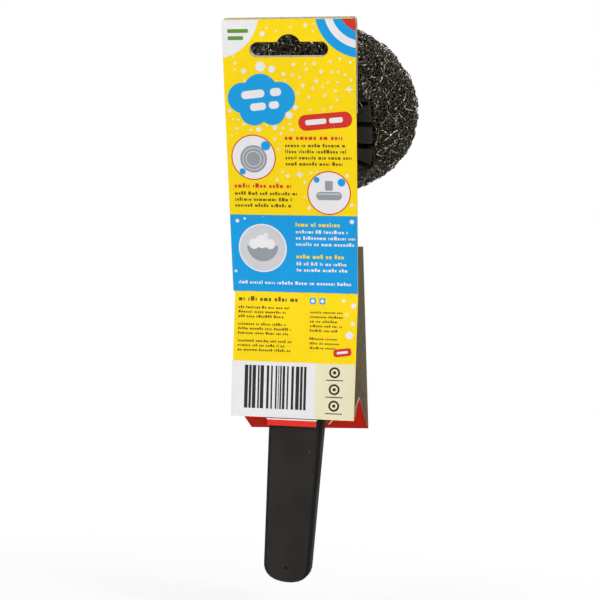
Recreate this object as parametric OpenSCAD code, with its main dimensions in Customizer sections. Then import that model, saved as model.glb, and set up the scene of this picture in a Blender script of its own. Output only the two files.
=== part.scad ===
/* [Handle] */
// Width of the handle near the butt
butt_w = 19.6; // [16:0.1:22]
// Width of the handle at its widest
grip_w = 23.4; // [20:0.1:26]
// Height of the widest place above the butt
grip_z = 76; // [60:1:95]
// Width of the handle where the neck starts
neck_w = 22; // [20:0.1:25]
// Thickness of the handle near the butt
butt_t = 11; // [9:0.1:13]
// Thickness of the handle at the neck
handle_t = 13; // [12:0.1:15]
// Height of the straight handle, from the butt to the neck
handle_h = 150; // [140:1:165]
// Height of the rounded butt
butt_round = 7.5; // [5:0.5:10]
// Radius of the long edges on the back of the handle
back_edge_r = 2.6; // [1:0.1:4]
// Radius of the long edges on the front of the handle
front_edge_r = 4.6; // [2:0.1:5]
// Wall of the two handle shells
wall = 2; // [1.5:0.1:2.5]
// How far below the neck the front shell ends
shell_down = 16; // [14:1:25]
// Width of the seam between the two shells
seam = 0.2; // [0.1:0.05:0.4]
// Depth of the seam, below which the shells meet
seam_d = 0.6; // [0.3:0.1:1]
// Radius of the pegs that hold the front shell
peg_r = 1.5; // [1.2:0.1:2]
// Radius of the moulding mark near the butt
mark_r = 0.8; // [0.5:0.1:1.2]
// Height of the moulding mark above the butt
mark_z = 7; // [6:0.5:12]

/* [Head] */
// Angle between the scourer's plane and the handle
head_tilt = 38; // [34:1:42]
// Height of the middle of the scourer above the end of the straight handle
head_up = 50; // [47:0.2:56]
// How far the middle of the scourer stands in front of the handle's axis
head_out = 6.4; // [5:0.1:9]
// Width of the plate that carries the scourer
plate_w = 30; // [27:0.5:34]
// Thickness of that plate
plate_t = 2.6; // [2.2:0.1:3.2]
// Length of the plate above its middle
plate_up = 17; // [13:0.5:17.5]
// Length of the plate below its middle
plate_down = 26; // [24:0.5:28]
// Width of the foot of the rail
rail_foot_w = 7; // [5:0.5:9]
// Width of the top of the rail
rail_top_w = 12; // [11:0.5:15]
// Height of the rail's foot
rail_foot_h = 1.5; // [1.2:0.1:2]
// Thickness of the rail's top
rail_top_t = 1.5; // [1.2:0.1:2]

/* [Scourer refill] */
// Diameter of the knitted scourer
scourer_d = 82.4; // [76:0.2:90]
// Thickness of the knitted scourer
scourer_t = 25; // [22:0.5:28]
// Height of the scourer as a share of its width
mesh_oval = 0.975; // [0.94:0.005:1]
// How far the scourer's rim has crept up from the middle of its plate
mesh_up = 0.8; // [0:0.1:1]
// Number of rolls that show on the scourer's face
rolls = 3; // [2:1:4]
// Depth of the valleys between the rolls
roll_depth = 2.6; // [1:0.1:4]
// Distance between two stitches that stand out in the knit
knit_pitch = 6.8; // [5.5:0.1:9]
// Depth of the hollows between the stitches
knit_depth = 2; // [0.5:0.1:3]
// Width of the petal plate
petal_w = 48.6; // [44:0.2:52]
// Length of the petal plate
petal_l = 65; // [60:0.5:68]
// Thickness of the petal plate
petal_t = 3.2; // [2.4:0.1:4]
// How deep the petal plate sits in the scourer's back
petal_sunk = 1.2; // [0.5:0.1:2]
// Number of petals round its rim
petals = 18; // [12:2:20]
// Gap between two petals
petal_gap = 2.3; // [1.6:0.1:3]
// Depth of the gaps between the petals
petal_cut = 7; // [5:0.5:9]
// Distance of the first gap below the middle of the plate's right side
petal_start = 6.9; // [0:0.1:10]
// Width of the slide shoe, across the handle
shoe_w = 34; // [32:0.5:38]
// Length of the slide shoe, along the head
shoe_l = 37; // [34:0.5:40]
// Thickness of the slide shoe above the rail
shoe_roof = 2.8; // [2:0.1:3.5]
// Sliding clearance between the shoe and the rail
slide_gap = 0.25; // [0.15:0.05:0.4]
// Diameter of the centre button
button_d = 22; // [18:0.5:26]
// Rim thickness of the centre button
button_t = 1.8; // [1.4:0.1:3]
// Radius of the button's stem
stem_r = 4; // [3:0.1:5]
// Radius of the tie ring's wire
tie_r = 0.5; // [0.3:0.05:0.8]

/* [Release lever] */
// Width of the lever
lever_w = 12; // [10:0.5:13]
// Length of the thumb pad below the pivot
pad_l = 19; // [16:0.5:20]
// How far the thumb pad stands out behind its boss
pad_out = 4.6; // [3.5:0.1:5]
// Thickness of the thumb pad
pad_t = 3; // [2.4:0.1:3.4]
// Radius of the pivot pin
pin_r = 1.25; // [1:0.05:1.5]
// Radius of the lever's boss round the pin
boss_r = 2.6; // [2.4:0.1:3]
// Running clearance between the pin and the lever
pin_gap = 0.06; // [0.03:0.01:0.1]
// Height of the pivot above the end of the straight handle
pivot_up = 8; // [7:0.5:9]
// Width of the catch spring
spring_w = 5.5; // [4:0.5:7]
// Thickness of the catch spring
spring_t = 0.6; // [0.4:0.05:0.8]
// How far the catch spring's nose reaches into the shoe
nose_in = 1.2; // [0.8:0.1:1.4]

/* [Card] */
// Thickness of the card
card_t = 0.6; // [0.4:0.05:0.9]
// Width of the card at the top
card_top_w = 54.4; // [52:0.2:60]
// Width of the card at the bottom
card_foot_w = 52.4; // [50:0.2:58]
// How far the card's foot hangs below the neck, at the back
card_down = 80.1; // [74:0.1:86]
// Length of the upright lower part of the back panel
lower_l = 52.4; // [48:0.2:58]
// Length of the leaning upper part of the back panel
upper_l = 111.7; // [106:0.1:120]
// Lean of the upper part of the back panel
card_lean = 14.7; // [14:0.1:18]
// How far the card hangs askew on the handle
card_skew = 2.2; // [0:0.1:3]
// How far the card's middle sits to the left of the handle at its foot
card_off = 1.1; // [0:0.1:1.5]
// Depth of the card's base, from back to front
base_d = 34; // [30:0.5:38]
// Fall of the base towards the front
base_fall = 13; // [8:0.5:18]
// Height of the front panel
front_h = 78.6; // [70:0.2:84]
// Clearance between the handle and the mouth of the sleeve
mouth_gap = 1.4; // [1:0.1:2.5]
// Clearance between the handle and its hole in the base
hole_gap = 0.9; // [0.6:0.05:1.2]
// Width of the locking tongue
tongue_w = 20.6; // [16:0.2:21]
// Length of the locking tongue
tongue_l = 3; // [2.5:0.1:6]
// Size of the sloped shoulder at each end of the tongue's fold
tongue_neck = 0.6; // [0.3:0.1:1]
// How far the tongue sits to the left of the handle's middle
tongue_off = 1.2; // [0:0.1:1.6]
// Height of the folded ear at the right of the base
ear_h = 10; // [6:0.5:12]
// How far the front panel is turned against the back panel
card_twist = 2; // [0:0.1:3]
// How far the base's left end starts in from the corner of the back panel
base_in = 6; // [3:0.5:8]
// How far the front of the base has slid to the right
base_slide = 0.8; // [0:0.1:1.5]
// Length of the second layer behind the header
doubler_l = 38; // [30:1:50]
// Thickness of the second layer
doubler_t = 0.5; // [0.4:0.05:0.8]
// How far the second layer stands out at the top
doubler_up = 0.6; // [0:0.1:1.2]
// How far the second layer stands out at the right
doubler_right = 0.5; // [0:0.1:1]

/* [Hang slot] */
// Length of the slot
slot_l = 32; // [30:0.5:34]
// Height of the slot
slot_h = 6; // [5:0.1:7]
// Radius of the hump in the middle of the slot
hump_r = 5.25; // [4.5:0.05:6]
// How far the hump's centre sits above the middle of the slot
hump_up = 0.75; // [0:0.05:1]
// Distance from the top of the card to the middle of the slot
slot_drop = 12; // [11:0.1:16]

/* [Hidden] */
$fn = 48;
far = 200;

// Handle, in the wand's own frame: X across, Y from the card's back panel to the front, Z up from the butt
handle_back = card_t + 0.9;
handle_y = handle_back + handle_t / 2;
handle_front = handle_back + handle_t;
shell_h = handle_h - shell_down;
butt_edge = 3.4;
arc_steps = 5;
butt_steps = 7;
shell_steps = 9;

// Head: y runs down the slope towards the handle, z along the normal of the scourer's face
head_y = handle_y + head_out;
head_z = handle_h + head_up;
seat_gap = 0.3;
mesh_back = -scourer_t / 2;
mesh_r = scourer_d / 2;
petal_front = mesh_back - 0.1;
petal_back = petal_front - petal_t;
shoe_back = petal_back - shoe_roof - rail_top_t - rail_foot_h - slide_gap + seat_gap;
plate_front = shoe_back - seat_gap;
plate_back = plate_front - plate_t;
plate_corner = 4;
rail_l = plate_w;

// Lever, pin and catch spring
pivot_y = handle_back + boss_r + 0.3;
pivot_z = handle_h + pivot_up;
recess_w = lever_w + 1.2;
recess_floor = pivot_y + boss_r + 0.5;
recess_foot = pivot_z - pad_l - 4;
well_top = plate_back + 0.2;
well_l = 30;
pin_l = neck_w - 1;
nose_y = 13.4;
nose_l = 2.6;
spring_back = plate_back - 0.3 - spring_t;
hook_y = 9;
hook_drop = 3.6;
stake_y = 21.5;
stake_r = 1;

// Card
card_z = handle_h - card_down;
card_round = 1.5;
card_nick = 0.8;
crease_gap = 0.3;
tongue_y = 0.15;
slot_v = upper_l - slot_drop;
slot_point = card_point([0, -slot_v * sin(card_lean), lower_l + slot_v * cos(card_lean)]);

// A point of the head's side view as [Y, Z]
function head_point(y, z) = [
    head_y + y * sin(head_tilt) + z * cos(head_tilt),
    head_z - y * cos(head_tilt) + z * sin(head_tilt)
];
// A point of the card's own frame in the wand's frame
function card_point(p) = [
    -card_off + p[0] * cos(card_skew) - p[2] * sin(card_skew),
    p[1],
    card_z + p[0] * sin(card_skew) + p[2] * cos(card_skew)
];
function unit(v) = v / norm(v);
function left_of(v) = [-v[1], v[0]];
// The point b of a path, moved sideways by d, so that both legs keep their distance
function mitre(a, b, c, d) =
    let (n = left_of(unit(b - a)), m = left_of(unit(c - b)))
    b + d * (n + m) / (1 + n * m);
function arc(centre, r, from, to, steps) = [
    for (i = [0:steps]) let (a = from + (to - from) * i / steps) centre + r * [cos(a), sin(a)]
];
// Share of the full size that is left at height z in an end rounded over a height r
function rounded(z, r) = z >= r ? 1 : sqrt(1 - pow(1 - z / r, 2));
function mix(a, b, t) = a + (b - a) * min(1, max(0, t));
function half_w(z) = rounded(z, butt_round) / 2 * (z < grip_z
    ? mix(butt_w, grip_w, z / grip_z)
    : mix(grip_w, neck_w, (z - grip_z) / (handle_h - grip_z)));
function half_t(z) = rounded(z, butt_edge) / 2 * mix(butt_t, handle_t, z / grip_z);
// The handle's section at height z, drawn in by inset
function handle_section(z, inset) =
    let (w = half_w(z) - inset, t = half_t(z) - inset)
    let (rb = min(max(back_edge_r - inset, 0.5), 0.9 * t, 0.9 * w))
    let (rf = min(max(front_edge_r - inset, 0.5), 0.9 * t, 0.9 * w))
    concat(
        arc([-w + rb, -t + rb], rb, 180, 270, arc_steps), arc([w - rb, -t + rb], rb, 270, 360, arc_steps),
        arc([w - rf, t - rf], rf, 0, 90, arc_steps), arc([-w + rf, t - rf], rf, 90, 180, arc_steps)
    );
// Heights of the sections: close together in the rounded butt, even above it
function heights(from, to) = concat(
    [for (i = [0:butt_steps - 1]) let (z = butt_round * (1 - cos(90 * (i + 0.6) / butt_steps))) if (z > from) z],
    [for (i = [0:shell_steps]) let (z = mix(max(from, butt_round), grip_z, i / shell_steps)) z],
    [for (i = [1:shell_steps]) mix(grip_z, to, i / shell_steps)]
);

// The ring in the middle of the head plate that the neck runs into, one point for each of the handle's section
neck_seat = [for (p = handle_section(handle_h, 0))
    let (s = head_point(mix(nose_y - 3, plate_down - 1.3, (p[1] / half_t(handle_h) + 1) / 2), plate_front - plate_t / 2))
    [p[0] / half_w(handle_h) * (plate_w / 2 - 1.3), s[0], s[1]]];

// A solid through rings of points, each ring as long as the next; with a lattice its ridges cross both ways
module loft(rings, lattice = false) {
    n = len(rings[0]);
    last = len(rings) - 1;
    points = [for (ring = rings) each ring];
    sides = [
        for (i = [0:last - 1]) for (j = [0:n - 1])
            let (k = (j + 1) % n, a = i * n + j, b = i * n + k, c = a + n, d = b + n)
            each lattice && (i + j) % 2 == 0 ? [[a, c, d], [a, d, b]] : [[a, c, b], [b, c, d]]
    ];
    foot = [for (j = [1:n - 2]) [0, j, j + 1]];
    head = [for (j = [1:n - 2]) [last * n, last * n + j + 1, last * n + j]];
    polyhedron(points = points, faces = concat(sides, foot, head), convexity = 6);
}
// A side view drawn in Y and Z, pushed out evenly across X
module from_side(points, width) {
    rotate([90, 0, 90]) linear_extrude(width, center = true) polygon(points);
}
// A front view drawn in X and Z, pushed through from y0 to y1
module from_front(points, y0, y1) {
    translate([0, y1, 0]) rotate([90, 0, 0]) linear_extrude(y1 - y0) polygon(points);
}
module on_head() {
    translate([0, head_y, head_z]) rotate([head_tilt - 90, 0, 0]) children();
}
module on_card() {
    translate([-card_off, 0, card_z]) rotate([0, -card_skew, 0]) children();
}
module on_upper_panel() {
    on_card() translate([0, 0, lower_l]) rotate([card_lean, 0, 0]) children();
}
// Everything is drawn in the wand's frame, then moved so that the hang slot is at the origin
module placed() {
    translate(-slot_point) children();
}
module box(low, high) {
    translate(low) cube(high - low);
}

function handle_rings(inset, from, to) =
    [for (z = heights(from, to)) [for (p = handle_section(z, inset)) [p[0], handle_y + p[1], z]]];
module handle_solid(inset, from, to) {
    loft(handle_rings(inset, from, to));
}
// The handle with the thick neck that runs into the head plate
module handle_and_neck() {
    rings = handle_rings(0, 0, handle_h);
    top = rings[len(rings) - 1];
    loft(concat(rings, [for (t = [0.25, 0.5, 0.75, 1]) [for (i = [0:len(top) - 1]) mix(top[i], neck_seat[i], t)]]));
}
module rounded_plate(w, y0, y1, z0, z1, r) {
    box([-w / 2 + r, y0, z0], [w / 2 - r, y1, z1]);
    box([-w / 2, y0 + r, z0], [w / 2, y1 - r, z1]);
    for (x = [-w / 2 + r, w / 2 - r], y = [y0 + r, y1 - r])
        translate([x, y, z0]) cylinder(r = r, h = z1 - z0);
}
// The well in the back of the neck that the lever and its spring work in
module lever_well() {
    well_out = head_point(hook_y - 2, well_top - well_l);
    from_side([
        [well_out[0], recess_foot], [recess_floor - 3, recess_foot], [recess_floor, recess_foot + 3],
        [recess_floor, pivot_z + 2], head_point(plate_down - 1, well_top),
        head_point(hook_y - 2, well_top), well_out,
    ], recess_w);
}
module rail() {
    box([-rail_l / 2, -rail_foot_w / 2, plate_front - 0.2],
        [rail_l / 2, rail_foot_w / 2, plate_front + rail_foot_h + 0.1]);
    box([-rail_l / 2, -rail_top_w / 2, plate_front + rail_foot_h],
        [rail_l / 2, rail_top_w / 2, plate_front + rail_foot_h + rail_top_t]);
}
peg_heights = [grip_z * 0.32, grip_z, shell_h - 14];
module pegs(r, y0, y1) {
    for (z = peg_heights) translate([0, y0, z]) rotate([-90, 0, 0]) cylinder(r = r, h = y1 - y0);
}

module handle_back_shell() {
    color([0.17, 0.165, 0.155]) difference() {
        union() {
            difference() {
                handle_and_neck();
                handle_solid(wall, wall, shell_h - wall);
                box([-far, handle_y, -far], [far, far, shell_h]);
            }
            intersection() {
                pegs(peg_r + wall, handle_back + 1, handle_y);
                handle_solid(0.5, 1, shell_h);
            }
            on_head() {
                rounded_plate(plate_w, -plate_up, plate_down, plate_back, plate_front, plate_corner);
                rail();
            }
        }
        lever_well();
        pegs(peg_r + 0.05, handle_back + wall, handle_y + 1);
        translate([0, pivot_y, pivot_z]) rotate([0, 90, 0]) cylinder(r = pin_r + 0.01, h = far, center = true);
        on_head() box([-spring_w / 2 - 0.4, nose_y - nose_l / 2 - 0.5, plate_back - 1],
            [spring_w / 2 + 0.4, nose_y + nose_l / 2 + 0.5, plate_front + 1]);
        translate([0, handle_y - half_t(mark_z) - 1, mark_z]) rotate([-90, 0, 0])
            cylinder(r = mark_r, h = 1.7, $fn = 24);
    }
    color([0.17, 0.165, 0.155]) on_head() translate([0, stake_y, spring_back - 0.5])
        cylinder(r = stake_r, h = plate_back - spring_back + 1.5, $fn = 24);
}
// The groove that shows as the seam round the front shell
module seam_groove() {
    difference() {
        union() {
            box([-far, handle_y - 1, -far], [far, handle_y + seam, far]);
            box([-far, handle_y - 1, shell_h - seam], [far, far, far]);
        }
        handle_solid(seam_d, -1, handle_h);
    }
}
module handle_front_shell() {
    color([0.17, 0.165, 0.155]) {
        difference() {
            handle_solid(0, 0, handle_h);
            handle_solid(wall, wall, shell_h - wall);
            seam_groove();
            box([-far, -far, -far], [far, handle_y, far]);
            box([-far, -far, shell_h], [far, far, far]);
        }
        pegs(peg_r, handle_back + wall + 1, handle_front - wall + 0.4);
    }
}
module catch_spring() {
    hook_back = spring_back - hook_drop;
    color([0.72, 0.72, 0.7]) on_head() difference() {
        union() {
            box([-spring_w / 2, hook_y, spring_back], [spring_w / 2, plate_down - 2, spring_back + spring_t]);
            box([-spring_w / 2, hook_y, hook_back], [spring_w / 2, hook_y + spring_t, spring_back + spring_t]);
            box([-spring_w / 2, hook_y, hook_back - spring_t], [spring_w / 2, hook_y + 3.4, hook_back]);
            rotate([90, 0, 90]) linear_extrude(spring_w, center = true) polygon([
                [nose_y - nose_l / 2, spring_back], [nose_y + nose_l / 2, spring_back],
                [nose_y + nose_l / 2, plate_front + nose_in], [nose_y - nose_l / 2 + 0.8, shoe_back + nose_in],
                [nose_y - nose_l / 2, shoe_back + nose_in - 0.8],
            ]);
        }
        translate([0, stake_y, spring_back - 1]) cylinder(r = stake_r + 0.15, h = 3, $fn = 24);
    }
}
module lever_pin() {
    color([0.75, 0.75, 0.74]) translate([0, pivot_y, pivot_z]) rotate([0, 90, 0])
        cylinder(r = pin_r, h = pin_l, center = true);
}
module release_lever() {
    // Side view of the thumb pad, from the boss down to its tip
    pad_back = pivot_y - boss_r - pad_out;
    pad = [
        [pivot_y - boss_r, pivot_z], [pad_back + 0.3 * pad_out, pivot_z - 0.36 * pad_l],
        [pad_back, pivot_z - 0.6 * pad_l], [pad_back, pivot_z - 0.82 * pad_l],
        [pad_back + 0.4 * pad_t, pivot_z - pad_l], [pad_back + pad_t, pivot_z - pad_l],
        [pad_back + pad_t, pivot_z - 0.6 * pad_l], [pivot_y, pivot_z - boss_r],
    ];
    toe_y = hook_y + spring_t + 0.4;
    toe_back = spring_back - hook_drop + 0.35;
    arm = [
        [pivot_y - boss_r + 0.2, pivot_z - 1], head_point(toe_y + 3, toe_back), head_point(toe_y, toe_back),
        head_point(toe_y, spring_back - 0.4), head_point(toe_y + 3, spring_back - 0.4),
        [pivot_y + boss_r - 0.6, pivot_z + 1.5],
    ];
    color([0.78, 0.09, 0.07]) difference() {
        union() {
            translate([0, pivot_y, pivot_z]) rotate([0, 90, 0]) cylinder(r = boss_r, h = lever_w, center = true);
            from_side(pad, lever_w);
            for (i = [0:3]) translate([0, pad_back + 0.25, pivot_z - pad_l * (0.58 + 0.085 * i)])
                rotate([0, 90, 0]) cylinder(r = 0.65, h = lever_w - 2, center = true, $fn = 24);
            from_side(arm, spring_w - 0.5);
        }
        translate([0, pivot_y, pivot_z]) rotate([0, 90, 0]) cylinder(r = pin_r + pin_gap, h = far, center = true);
    }
}

module slide_shoe() {
    top = plate_front + rail_foot_h + rail_top_t + slide_gap;
    color([0.14, 0.14, 0.14]) on_head() difference() {
        rounded_plate(shoe_w, -shoe_l / 2, shoe_l / 2, shoe_back, petal_back, 4);
        box([-far, -rail_foot_w / 2 - slide_gap, shoe_back - 1],
            [rail_l / 2 + slide_gap, rail_foot_w / 2 + slide_gap, top - 0.5]);
        box([-far, -rail_top_w / 2 - slide_gap, plate_front + rail_foot_h - slide_gap],
            [rail_l / 2 + slide_gap, rail_top_w / 2 + slide_gap, top]);
        box([-spring_w / 2 - 0.3, nose_y - nose_l / 2 - 0.3, shoe_back - 1],
            [spring_w / 2 + 0.3, nose_y + nose_l / 2 + 0.3, shoe_back + nose_in + 0.5]);
    }
}
petal_r = petal_w / 2;
petal_straight = petal_l / 2 - petal_r;
half_rim = 2 * petal_straight + petal_r * PI;
// Point on the oval's rim and its outward direction, at the distance d down along it from the middle of its
// right side to the middle of its left side
function rim_at(d) = d < petal_straight ? [petal_r, d, 0]
    : d > half_rim - petal_straight ? [-petal_r, half_rim - d, 180]
    : let (a = (d - petal_straight) / petal_r * 180 / PI) [petal_r * cos(a), petal_straight + petal_r * sin(a), a];
socket_r = stem_r + 2.4;
socket_top = petal_front + 0.55 * scourer_t;
module petal_plate() {
    color([0.13, 0.13, 0.135]) on_head() difference() {
        union() {
            translate([0, 0, petal_back]) linear_extrude(petal_t) petal_oval(petal_w, petal_l);
            translate([0, 0, petal_front - 0.1]) cylinder(r = socket_r, h = socket_top - petal_front + 0.1);
        }
        translate([0, 0, petal_front - 1]) cylinder(r = stem_r + 0.1, h = far);
        for (i = [0:petals / 2 - 1], turn = [0, 180]) let (p = rim_at(petal_start + i * 2 * half_rim / petals))
            rotate(turn) translate([p[0], p[1], petal_back - 1]) rotate(p[2]) {
                translate([petal_gap / 2 - petal_cut, -petal_gap / 2, 0]) cube([petal_cut + 5, petal_gap, petal_t + 2]);
                translate([petal_gap / 2 - petal_cut, 0, 0]) cylinder(r = petal_gap / 2, h = petal_t + 2, $fn = 20);
            }
    }
}
// Outline of the knitted scourer as [radius, height], from the rim of its back round to the button's seat
bore_r = socket_r + 2 * tie_r + 0.9;
seat_r = button_d / 2 + 0.5;
back_r = petal_r + 0.7;
face_z = scourer_t / 2 - 1;
seat_z = 1 + face_z - roll_depth;
flank_steps = 6;
roll_steps = 4;
function valley(t) = t * rolls < 0.5 ? 0 : roll_depth * (1 - abs(sin(180 * rolls * t)));
skin = concat(
    [for (i = [0:flank_steps]) let (a = 90 * i / flank_steps)
        [mix(back_r, mesh_r, sin(a)), mix(mesh_back - petal_sunk, 1, 1 - cos(a))]],
    [for (i = [1:rolls * roll_steps]) let (t = i / (rolls * roll_steps))
        [mix(mesh_r, seat_r, t), 1 + face_z * sqrt(1 - pow(1 - t, 2.2)) - valley(t)]]
);
// Every second point of each row is a stitch that stands out, and the points between them lie in hollows,
// which get shallower towards the middle, where the stitches are drawn together
stitches = 2 * round(PI * mesh_r / knit_pitch * sqrt(2));
function knit_point(row, column) =
    let (flat = row == 0 || row == len(skin) - 1 || (row + column) % 2 == 0)
    let (sunk = flat ? 0 : knit_depth * skin[row][0] / mesh_r)
    let (p = flat ? skin[row] : skin[row] + sunk * left_of(unit(skin[row + 1] - skin[row - 1])))
    let (a = 360 * column / stitches)
    let (crept = mesh_up * (p[0] - seat_r) / (mesh_r - seat_r))
    [p[0] * cos(a), mesh_oval * p[0] * sin(a) - crept, p[1]];
module petal_oval(w, l) {
    for (y = [-1, 1]) translate([0, y * (l - w) / 2]) circle(r = w / 2, $fn = 96);
    square([w, l - w], center = true);
}
module scourer_mesh() {
    color([0.3, 0.285, 0.25]) on_head() difference() {
        loft([for (row = [0:len(skin) - 1]) [for (column = [0:stitches - 1]) knit_point(row, column)]], true);
        translate([0, 0, mesh_back - petal_sunk - 1]) cylinder(r = bore_r, h = scourer_t + 2);
        translate([0, 0, mesh_back - petal_sunk - 1]) linear_extrude(petal_sunk + 1)
            petal_oval(petal_w + 0.8, petal_l + 0.8);
    }
}
module mesh_tie_ring() {
    color([0.7, 0.69, 0.66]) on_head() translate([0, 0, mesh_back + 3]) rotate_extrude($fn = 64)
        translate([socket_r + tie_r + 0.3, 0]) circle(r = tie_r, $fn = 20);
}
module centre_button() {
    z = seat_z + 0.1;
    color([0.15, 0.15, 0.16]) on_head() difference() {
        union() {
            translate([0, 0, z]) rotate_extrude($fn = 64) polygon(concat(
                [[0, 0], [button_d / 2, 0], [button_d / 2, button_t * 0.6]],
                [for (i = [1:8]) let (a = 90 * i / 8)
                    [button_d / 2 * cos(a * 0.98), button_t * 0.6 + button_t * sin(a)]], [[0, button_t * 1.6]]
            ));
            translate([0, 0, petal_front - 0.8]) cylinder(r = stem_r, h = z - petal_front + 1);
        }
        translate([0, 0, petal_front - 2]) cylinder(r = stem_r - 1.4, h = z - petal_front);
        box([-0.6, -far, petal_front - 2], [0.6, far, petal_front + 6]);
    }
}

// The card's side view, from the top of the back panel to the top of the front panel
base_front = [base_d * cos(base_fall), -base_d * sin(base_fall)];
mouth = [handle_front + mouth_gap + card_t, base_front[1] + front_h];
card_path = [
    [-upper_l * sin(card_lean), lower_l + upper_l * cos(card_lean)], [0, lower_l], [0, 0], base_front, mouth
];
function moved(path, d) = let (last = len(path) - 1) [
    for (i = [0:last])
        i == 0 ? path[0] + d * left_of(unit(path[1] - path[0]))
        : i == last ? path[last] + d * left_of(unit(path[last] - path[last - 1]))
        : mitre(path[i - 1], path[i], path[i + 1], d)
];
function back_to_front(path) = [for (i = [len(path) - 1:-1:0]) path[i]];
card_top = lower_l + upper_l * cos(card_lean);
card_slope = (card_top_w - card_foot_w) / 2 / card_top;
card_foot = base_front[1] - 2;
card_hem = card_foot_w / 2 + card_slope * card_foot;
// Front view of the card: a slight taper, rounded top corners and a nick at the crease
card_outline = concat(
    [[card_hem, card_foot]],
    arc([card_top_w / 2 - card_round, card_top - card_round], card_round, 0, 90, 6),
    arc([-card_top_w / 2 + card_round, card_top - card_round], card_round, 90, 180, 6),
    [
        [-card_foot_w / 2 - card_slope * lower_l, lower_l + card_nick],
        [-card_foot_w / 2 - card_slope * lower_l + card_nick, lower_l - card_nick], [-card_hem, card_foot],
    ]
);
module slot_cut(dx, dz) {
    on_upper_panel() translate([dx, card_t + doubler_t + 1, slot_v + dz]) rotate([90, 0, 0])
        linear_extrude(card_t + doubler_t + 2) {
            square([slot_l - slot_h, slot_h], center = true);
            for (x = [-1, 1]) translate([x * (slot_l - slot_h) / 2, 0]) circle(r = slot_h / 2);
            intersection() {
                translate([0, hump_up]) circle(r = hump_r);
                translate([-hump_r, 0]) square([2 * hump_r, far]);
            }
        }
}
// Plan of the base: its left end is cut in at the back, and its front has slid to the right
base_plan = [
    [base_in - card_foot_w / 2, -1], [card_foot_w / 2, -1],
    [card_foot_w / 2 + base_slide, base_front[0] + 1], [base_slide - card_foot_w / 2, base_front[0] + 1],
];
// Front view of the front panel, which widens towards its mouth
front_outline = [
    [card_foot_w / 2 + base_slide, base_front[1] - 2], [card_top_w / 2 + base_slide, mouth[1] + 2],
    [base_slide - card_top_w / 2, mouth[1] + 2], [base_slide - card_foot_w / 2, base_front[1] - 2],
];
// The ear's outline as shares of the base's depth and of the ear's height
ear = [[0.09, 0], [0.16, 0.39], [0.25, 0.66], [0.41, 1], [0.97, 0]];
// The base and the front panel turn about the lower end of the back panel's left edge
module on_front() {
    on_card() translate([base_in - card_foot_w / 2, 0, 0]) rotate([0, -card_twist, 0])
        translate([card_foot_w / 2 - base_in, 0, 0]) children();
}
// The folded strip of card from one corner of its side view to another
module strip(from, to) {
    side = [for (i = [from:to]) card_path[i]];
    inner = moved(card_path, card_t);
    from_side(concat(side, [for (i = [to:-1:from]) inner[i]]), far);
}
module hang_card() {
    color([0.97, 0.84, 0.05]) difference() {
        union() {
            on_card() intersection() {
                strip(0, 2);
                from_front(card_outline, -far, far);
            }
            on_front() intersection() {
                strip(2, 3);
                translate([0, 0, -far]) linear_extrude(2 * far) polygon(base_plan);
            }
            on_front() intersection() {
                strip(3, 4);
                from_front(front_outline, -far, far);
            }
            on_front() translate([card_foot_w / 2 - 0.1, 0, card_t / 2])
                rotate([0, 0, -atan(base_slide / base_front[0])]) translate([-card_t / 2, 0, 0])
                from_side([for (p = ear) [p[0] * base_front[0], p[0] * base_front[1] + p[1] * ear_h]], card_t);
        }
        box([-grip_w / 2 - hole_gap, card_t + 0.1, card_z - base_d * sin(base_fall) - 3],
            [grip_w / 2 + hole_gap, handle_front + hole_gap, card_z + 3]);
        slot_cut(0, 0);
    }
}
module header_doubler() {
    w = card_top_w / 2;
    color([0.42, 0.37, 0.3]) difference() {
        on_upper_panel() translate([doubler_right, card_t, doubler_up]) from_front(concat(
            [[w - 0.4, upper_l - doubler_l]],
            arc([w - card_round, upper_l - card_round], card_round, 0, 90, 6),
            arc([-w + card_round, upper_l - card_round], card_round, 90, 180, 6),
            [[-w + 0.4, upper_l - doubler_l]]
        ), 0, doubler_t);
        slot_cut(doubler_right, doubler_up);
    }
}
module locking_tongue() {
    w = tongue_w / 2;
    color([0.9, 0.2, 0.13]) on_card() translate([card_off - tongue_off, 0, -crease_gap]) from_front([
        [-w - tongue_neck, 0], [-w, -tongue_neck], [-w, -tongue_l],
        [w, -tongue_l], [w, -tongue_neck], [w + tongue_neck, 0]
    ], tongue_y, tongue_y + card_t);
}

placed() hang_card();
placed() header_doubler();
placed() locking_tongue();
placed() handle_back_shell();
placed() handle_front_shell();
placed() catch_spring();
placed() lever_pin();
placed() release_lever();
placed() slide_shoe();
placed() petal_plate();
placed() scourer_mesh();
placed() mesh_tie_ring();
placed() centre_button();
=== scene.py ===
# A dish wand hanging in its folded retail card: the looks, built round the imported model.
import math
import random

import bmesh
import bpy
from mathutils import Matrix, Vector, noise


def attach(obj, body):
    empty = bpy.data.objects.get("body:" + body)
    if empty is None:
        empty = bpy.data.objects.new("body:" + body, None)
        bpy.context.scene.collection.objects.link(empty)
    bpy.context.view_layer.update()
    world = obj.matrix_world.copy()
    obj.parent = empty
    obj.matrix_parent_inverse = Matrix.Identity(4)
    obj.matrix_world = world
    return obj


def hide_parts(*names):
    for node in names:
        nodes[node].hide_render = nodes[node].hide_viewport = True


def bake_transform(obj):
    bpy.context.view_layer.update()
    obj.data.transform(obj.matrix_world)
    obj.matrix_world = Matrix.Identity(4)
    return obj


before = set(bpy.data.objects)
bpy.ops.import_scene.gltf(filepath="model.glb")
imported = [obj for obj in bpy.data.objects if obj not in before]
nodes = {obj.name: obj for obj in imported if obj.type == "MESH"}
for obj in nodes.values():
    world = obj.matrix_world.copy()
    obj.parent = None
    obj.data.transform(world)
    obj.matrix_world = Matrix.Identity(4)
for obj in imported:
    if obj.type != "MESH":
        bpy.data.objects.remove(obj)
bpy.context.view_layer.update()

# Without a seed of its own, the noise would start from the clock
noise.seed_set(11)

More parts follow.
